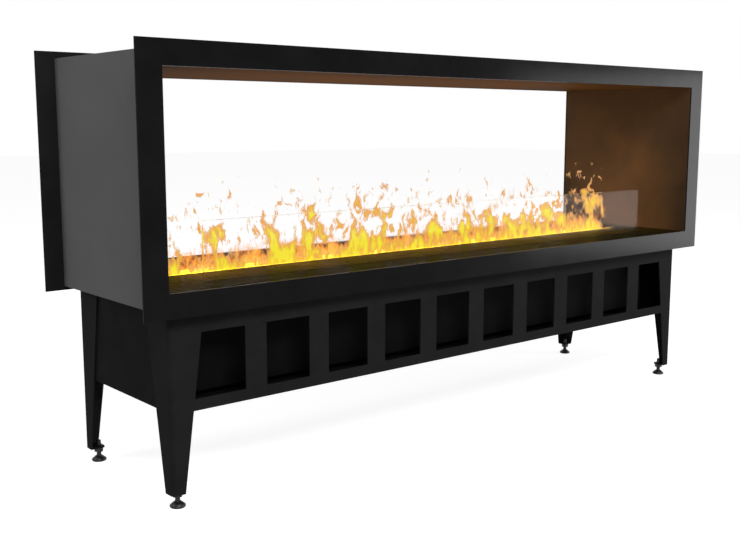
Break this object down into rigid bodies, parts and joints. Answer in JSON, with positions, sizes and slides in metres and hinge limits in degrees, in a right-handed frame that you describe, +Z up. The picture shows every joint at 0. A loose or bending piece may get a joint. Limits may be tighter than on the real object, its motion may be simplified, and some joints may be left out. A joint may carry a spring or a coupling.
{
  "type": "double-sided fireplace",
  "caption": "Long see-through electric fireplace: open black tunnel with face frames, low glass screens and a vapour slot, on a vented pedestal with tapered folded legs and levelling feet.",
  "frame": {"origin": "on the floor, at the middle of the footprint", "axes": "+X along the length to the right as seen from the pictured side, +Y from the pictured side to the far side, +Z up"},
  "size_m": [1.7, 0.43, 0.848],
  "materials": {
    "black_powder_coat": "satin black powder coat on folded steel sheet",
    "black_liner_paint": "satin black paint inside the firebox",
    "black_casing_paint": "matt black paint on the cassette's sheet",
    "blackened_steel": "black oxide on turned steel",
    "bright_steel": "plain steel",
    "black_anodised": "black anodised extrusion",
    "clear_glass": "clear toughened glass",
    "opal_diffuser": "opal plastic lit warm yellow from behind",
    "black_plastic": "moulded black plastic",
    "gloss_black_plastic": "polished black plastic",
    "natural_plastic": "natural translucent plastic",
    "black_rubber": "soft black rubber",
    "green_board": "green circuit board with its components"
  },
  "bodies": {
    "cabinet": {"base_pan": "black_powder_coat", "base_tray": "black_powder_coat", "bay_dividers": "black_casing_paint", "casing_ends": "black_casing_paint", "cassette_casing": "black_casing_paint", "cassette_screws": "blackened_steel", "ceiling_liner": "black_liner_paint", "control_board": "green_board", "control_box": "black_casing_paint", "control_box_lid": "black_casing_paint", "fan_frames": "black_plastic", "feed_tube": "natural_plastic", "firebox_floor": "black_liner_paint", "flap_hinge": "bright_steel", "float_guide": "bright_steel", "floor_bearers": "black_casing_paint", "foot_plates": "black_powder_coat", "front_left_leg": "black_powder_coat", "front_mist_baffle": "black_casing_paint", "front_right_leg": "black_powder_coat", "front_trim_frame": "black_powder_coat", "front_vent_panel": "black_powder_coat", "glass_channels": "black_anodised", "left_base_panel": "black_powder_coat", "left_liner": "black_liner_paint", "left_side_panel": "black_powder_coat", "light_bars": "black_anodised", "light_diffusers": "opal_diffuser", "lock_nuts": "blackened_steel", "pedestal_bolts": "blackened_steel", "pedestal_nuts": "blackened_steel", "power_inlet": "black_plastic", "rear_left_leg": "black_powder_coat", "rear_mist_baffle": "black_casing_paint", "rear_right_leg": "black_powder_coat", "rear_trim_frame": "black_powder_coat", "rear_vent_panel": "black_powder_coat", "right_base_panel": "black_powder_coat", "right_liner": "black_liner_paint", "right_side_panel": "black_powder_coat", "roof_panel": "black_powder_coat", "slot_deck": "black_liner_paint", "sump_tray": "natural_plastic", "switch_housing": "black_plastic", "tank_lid": "natural_plastic", "transducers": "bright_steel", "water_tank": "natural_plastic"},
    "front_left_foot": {"front_left_glide": "blackened_steel"},
    "front_right_foot": {"front_right_glide": "blackened_steel"},
    "rear_left_foot": {"rear_left_glide": "blackened_steel"},
    "rear_right_foot": {"rear_right_glide": "blackened_steel"},
    "front_pane": {"front_glass_pane": "clear_glass"},
    "rear_pane": {"rear_glass_pane": "clear_glass"},
    "left_rotor": {"left_fan_rotor": "black_plastic"},
    "middle_rotor": {"middle_fan_rotor": "black_plastic"},
    "right_rotor": {"right_fan_rotor": "black_plastic"},
    "flap": {"filler_flap": "black_liner_paint"},
    "plug": {"filler_plug": "black_rubber"},
    "float": {"tank_float": "natural_plastic"},
    "rocker": {"switch_rocker": "gloss_black_plastic"}
  },
  "joints": [
    {"name": "front_left_foot_level", "type": "slide", "parent": "cabinet", "child": "front_left_foot", "axis": [0, 0, 1], "range_m": [-0.008, 0.006]},
    {"name": "front_right_foot_level", "type": "slide", "parent": "cabinet", "child": "front_right_foot", "axis": [0, 0, 1], "range_m": [-0.008, 0.006]},
    {"name": "rear_left_foot_level", "type": "slide", "parent": "cabinet", "child": "rear_left_foot", "axis": [0, 0, 1], "range_m": [-0.008, 0.006]},
    {"name": "rear_right_foot_level", "type": "slide", "parent": "cabinet", "child": "rear_right_foot", "axis": [0, 0, 1], "range_m": [-0.008, 0.006]},
    {"name": "front_pane_lift", "type": "slide", "parent": "cabinet", "child": "front_pane", "axis": [0, 0, 1], "range_m": [0, 0.12]},
    {"name": "rear_pane_lift", "type": "slide", "parent": "cabinet", "child": "rear_pane", "axis": [0, 0, 1], "range_m": [0, 0.12]},
    {"name": "left_fan_spin", "type": "hinge", "parent": "cabinet", "child": "left_rotor", "pos_m": [-0.39167, 0.1055, 0.306], "axis": [0, 1, 0], "continuous": true},
    {"name": "middle_fan_spin", "type": "hinge", "parent": "cabinet", "child": "middle_rotor", "pos_m": [-0.055, 0.1055, 0.306], "axis": [0, 1, 0], "continuous": true},
    {"name": "right_fan_spin", "type": "hinge", "parent": "cabinet", "child": "right_rotor", "pos_m": [0.28167, 0.1055, 0.306], "axis": [0, 1, 0], "continuous": true},
    {"name": "flap_hinge", "type": "hinge", "parent": "cabinet", "child": "flap", "pos_m": [0.645, 0.1012, 0.4128], "axis": [-1, 0, 0], "range_deg": [0, 105]},
    {"name": "plug_pull", "type": "slide", "parent": "cabinet", "child": "plug", "axis": [0, 0, 1], "range_m": [0, 0.012]},
    {"name": "float_rise", "type": "slide", "parent": "cabinet", "child": "float", "axis": [0, 0, 1], "range_m": [-0.085, 0.02]},
    {"name": "main_switch", "type": "hinge", "parent": "cabinet", "child": "rocker", "pos_m": [-0.733, 0.02, 0.312], "axis": [0, 1, 0], "range_deg": [-18, 0]}
  ]
}
